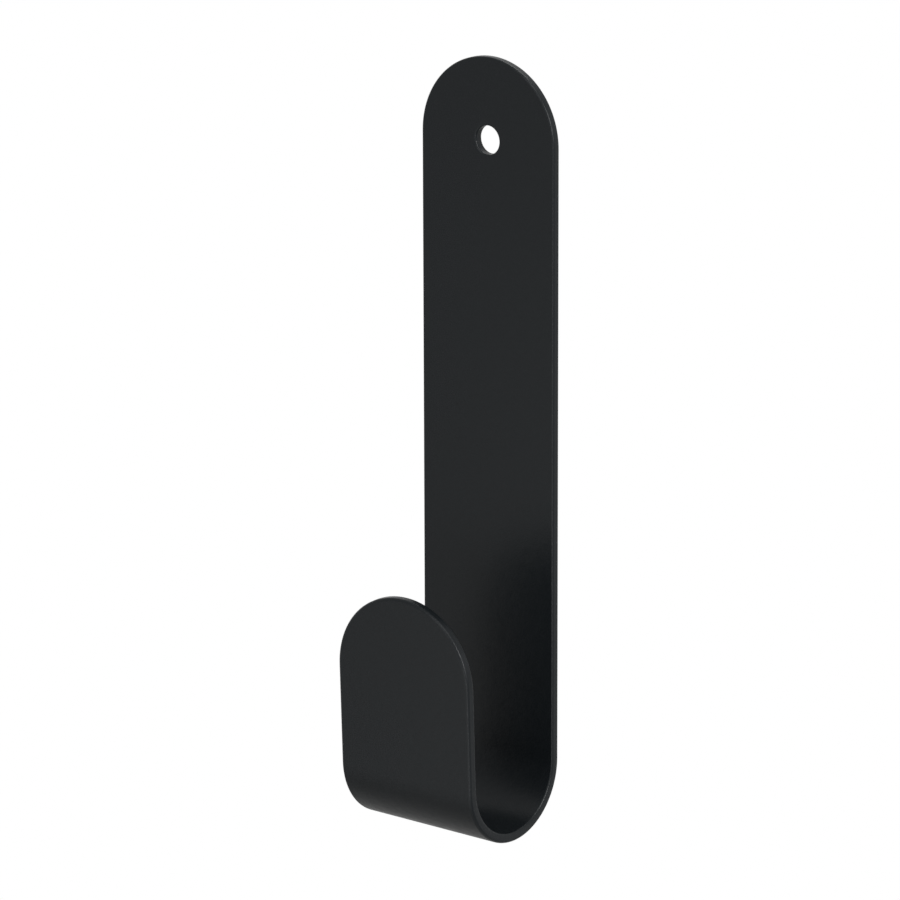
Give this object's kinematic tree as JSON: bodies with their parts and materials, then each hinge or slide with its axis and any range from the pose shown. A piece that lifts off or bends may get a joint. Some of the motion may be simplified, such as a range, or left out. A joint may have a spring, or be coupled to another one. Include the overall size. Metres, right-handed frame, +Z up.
{
  "type": "slatwall hook",
  "caption": "Flat steel strip bent into a wide J: round-ended back plate with a screw hole, U bend and short round-ended front leg, matt black powder coat.",
  "frame": {"origin": "on the axis of the screw hole, in the plane of the wall that the plate's back lies on", "axes": "+Z up along the plate, -Y out of the wall towards the leg, +X to the right as the hook is faced"},
  "size_m": [0.03, 0.0266, 0.14],
  "materials": {
    "powder_coat": "matt black powder coat on mild steel"
  },
  "bodies": {
    "root": {"hook_strip": "powder_coat"}
  },
  "joints": []
}
